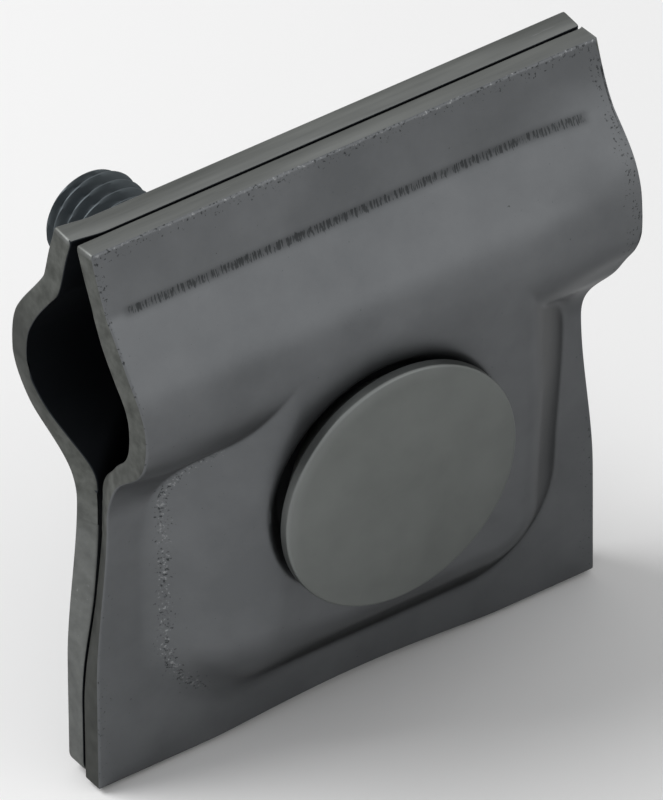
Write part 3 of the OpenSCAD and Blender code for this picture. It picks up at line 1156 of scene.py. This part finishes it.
@dataclass
class NutSet:
    """The flat washer, the spring washer and the hex nut behind the rear plate."""

    finish: Material
    smooth_deg: float = 35.0
    steps: int = 96  # segments round the axis
    washer_r: float = 8.0
    washer_hole_r: float = 4.2
    washer_t: float = 1.6
    washer_soft: float = 0.15  # how much the washers' edges are eased
    spring_in_r: float = 4.1
    spring_w: float = 3.35
    spring_t: float = 2.0
    spring_cut: float = 0.6
    spring_slant: float = 25.0
    nut_flats: float = 13.0
    nut_h: float = 6.8
    nut_bore_r: float = 4.05
    nut_sink: float = 0.6
    nut_soft: float = 0.12  # how much its edges are eased
    nut_face_in: float = 0.1  # how far in from the flats its round face ends
    nut_face_fall: float = 0.06  # and how much further the corners fall for it
    past: float = 1.0  # how far a tool reaches past what it cuts

    def ring(self, name: str, inner: float, outer: float, height: float) -> Object:
        """Turns a flat ring with eased edges, standing on Z = 0."""
        soft = self.washer_soft
        return lathe(name, [
            (inner, soft), (inner + soft, 0), (outer - soft, 0), (outer, soft),
            (outer, height - soft), (outer - soft, height), (inner + soft, height),
            (inner, height - soft), (inner, soft)], self.steps)

    def flat_washer(self) -> Object:
        """Makes the flat washer.

        Returns:
            The piece, in millimetres.
        """
        washer = self.ring("flat_washer_plated", self.washer_hole_r, self.washer_r, self.washer_t)
        along_bolt(washer, SEAT_Y)
        dress(washer, self.finish)
        return washer

    def spring_washer(self) -> Object:
        """Makes the split spring washer, pressed flat.

        Returns:
            The piece, in millimetres.
        """
        washer = self.ring("spring_washer_plated", self.spring_in_r,
                           self.spring_in_r + self.spring_w, self.spring_t)
        deselect_all()
        bpy.ops.mesh.primitive_cube_add(size=1)
        saw = active_piece("saw")
        points = read_points(saw) * np.array([3 * self.spring_w, self.spring_cut,
                                              4 * self.spring_t])
        turn = np.array(Euler((math.radians(self.spring_slant), 0, 0)).to_matrix())
        place = np.array([self.spring_in_r + self.spring_w / 2 + self.past, 0,
                          self.spring_t / 2])
        write_points(saw, points @ turn.T + place)
        combine(washer, saw, "DIFFERENCE")
        along_bolt(washer, SEAT_Y + self.washer_t)
        dress(washer, self.finish)
        return washer

    def hex_nut(self) -> Object:
        """Makes the hex nut.

        Returns:
            The piece, in millimetres.
        """
        flat_r = self.nut_flats / 2
        corner_r = flat_r / math.cos(math.pi / 6)
        fall = (corner_r - flat_r) * math.tan(math.pi / 6) + self.nut_face_fall
        face_r = flat_r - self.nut_face_in
        deselect_all()
        bpy.ops.mesh.primitive_cylinder_add(vertices=6, radius=corner_r, depth=self.nut_h,
                                            location=(0, 0, 0))
        nut = active_piece("hex_nut_plated")
        x, y, z = read_points(nut).T
        write_points(nut, np.column_stack((y, -x, z + self.nut_h / 2)))
        apply_modifier(nut, "BEVEL", width=self.nut_soft, segments=2, limit_method="ANGLE")
        turned = lathe("turned", [(0, 0), (face_r, 0), (corner_r, fall),
                                  (corner_r, self.nut_h - fall), (face_r, self.nut_h),
                                  (0, self.nut_h)], self.steps)
        combine(nut, turned, "INTERSECT")
        sink, bore_r = self.nut_sink, self.nut_bore_r
        low, high = -self.past, self.nut_h + self.past
        drill = lathe("drill", [(0, low), (bore_r + sink + self.past, low), (bore_r, sink),
                                (bore_r, self.nut_h - sink), (bore_r + sink + self.past, high),
                                (0, high)], self.steps)
        combine(nut, drill, "DIFFERENCE")
        along_bolt(nut, SEAT_Y + self.washer_t + self.spring_t)
        dress(nut, self.finish)
        return nut


@dataclass(frozen=True)
class Lamp:
    """A round soft lamp that looks at the origin."""

    name: str
    place: tuple[float, float, float]
    size: float
    watts: float


@dataclass
class Studio:
    """Pale floor, white surroundings, soft lamps and the camera."""

    floor_z: float = -36.2
    floor_size: float = 4000.0
    azimuth: float = -34.855
    elevation: float = 38.167
    roll: float = -0.505
    distance: float = 1588.5
    target: tuple[float, float, float] = (7.230, 10.043, -20.358)
    lens: float = 960.06
    sensor: float = 36.0
    world_light: float = 0.5
    lamps: tuple[Lamp, ...] = (Lamp("key_behind_left", (-300, 230, 400), 380, 2.2),
                               Lamp("sheen_right_front", (270, -480, 330), 620, 0.42))

    def camera(self) -> None:
        """Makes the camera at the viewing angle."""
        data = bpy.data.cameras.new("camera")
        data.sensor_fit = "VERTICAL"
        data.sensor_height = self.sensor
        data.lens = self.lens
        data.clip_start, data.clip_end = 0.1, 10.0
        camera = bpy.data.objects.new("camera", data)
        bpy.context.scene.collection.objects.link(camera)
        az, el = math.radians(self.azimuth), math.radians(self.elevation)
        back = Vector((math.sin(az) * math.cos(el), -math.cos(az) * math.cos(el), math.sin(el)))
        camera.location = (Vector(self.target) + back * self.distance) * MM
        aim = Euler((math.pi / 2 - el, 0, az)).to_matrix()
        tilt = Euler((0, 0, math.radians(self.roll))).to_matrix()
        camera.rotation_euler = (aim @ tilt).to_euler()
        bpy.context.scene.camera = camera

    def lights(self) -> None:
        """Hangs the soft lamps round the clamp."""
        for lamp in self.lamps:
            data = bpy.data.lights.new(lamp.name, "AREA")
            data.shape = "DISK"
            data.size = lamp.size * MM
            data.energy = lamp.watts
            hung = bpy.data.objects.new(lamp.name, data)
            hung.location = Vector(lamp.place) * MM
            hung.rotation_euler = (-Vector(lamp.place)).to_track_quat("-Z", "Y").to_euler()
            bpy.context.scene.collection.objects.link(hung)

    def surroundings(self) -> None:
        """Makes the world: plain soft light, white to the eye and in the metal."""
        world = bpy.data.worlds.new("studio")
        world.use_nodes = True
        tree = world.node_tree
        tree.nodes.clear()
        path = add_node(tree, "ShaderNodeLightPath")
        seen = path.outputs["Is Camera Ray"]
        for ray in ("Is Glossy Ray", "Is Transmission Ray"):
            seen = add_node(tree, "ShaderNodeMath", {0: seen, 1: path.outputs[ray]},
                            operation="MAXIMUM").outputs[0]
        light, white = (add_node(tree, "ShaderNodeBackground", {
            "Color": linear("ffffff"), "Strength": strength}).outputs[0]
            for strength in (self.world_light, 1.0))
        mix = add_node(tree, "ShaderNodeMixShader", {0: seen, 1: light, 2: white})
        add_node(tree, "ShaderNodeOutputWorld", {"Surface": mix.outputs[0]})
        bpy.context.scene.world = world

    def floor(self) -> None:
        """Lays the pale floor under the clamp."""
        deselect_all()
        bpy.ops.mesh.primitive_plane_add(size=self.floor_size * MM,
                                         location=(0, 0, self.floor_z * MM))
        floor = active_piece("studio_floor")
        # Matt white paper: to the eye it has no sheen, only the clamp's soft shadow
        material, tree = new_material("matt_white_paper")
        shader = add_node(tree, "ShaderNodeBsdfPrincipled", {
            "Base Color": linear("f4f4f4"), "Roughness": 0.9, "Specular IOR Level": 0.1})
        add_node(tree, "ShaderNodeOutputMaterial", {"Surface": shader.outputs[0]})
        dress(floor, material)


def main() -> None:
    """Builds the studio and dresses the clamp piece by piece."""
    logging.basicConfig(level=logging.INFO, format="%(name)s: %(message)s")
    bpy.context.scene.view_settings.view_transform = "Standard"
    studio = Studio()
    studio.camera()
    studio.lights()
    studio.surroundings()
    studio.floor()

    sheet, edge = ZincSheet().make(), ShearedEdge().make()
    head, thread, hardware = ZincHead().make(), ZincThread().make(), ZincHardware().make()

    plates = (
        PressedPlate(Side.FRONT, sheet, edge, PlateWearAndShading(highlight_arris=1.0, shaded_end=0.6),
                     top_skew=(0.7, 0.1), crest_skew=(0.3, 0.5, 3.0), wide_end=0.25,
                     thin=(0.8, -6.5, 2.2), bulges=((1.35, 6.1, 3.4), (-0.6, -4.0, 1.9)),
                     flare=0.05),
        PressedPlate(Side.REAR, sheet, edge, PlateWearAndShading(shaded_crest=(0.6, 1.0, 4.0), highlight_end=0.6),
                     corner_r=1.2, bulges=((0.5, 4.5, 3.0), (0.5, -7.0, 2.4))))
    for plate in plates:
        side = plate.side.value
        finish_piece(plate.build(), side, f"{side}_plate", plate.smooth_deg)
    bolt = SaucerBolt(head, thread)
    finish_piece(bolt.build(), "front", "bolt", bolt.smooth_deg)
    nut_set = NutSet(hardware)
    for piece, body, node in ((nut_set.flat_washer(), "washers", "flat_washer"),
                              (nut_set.spring_washer(), "washers", "spring_washer"),
                              (nut_set.hex_nut(), "nut", "hex_nut")):
        finish_piece(piece, body, node, nut_set.smooth_deg)

    bpy.context.view_layer.update()


if __name__ == "__main__":
    main()
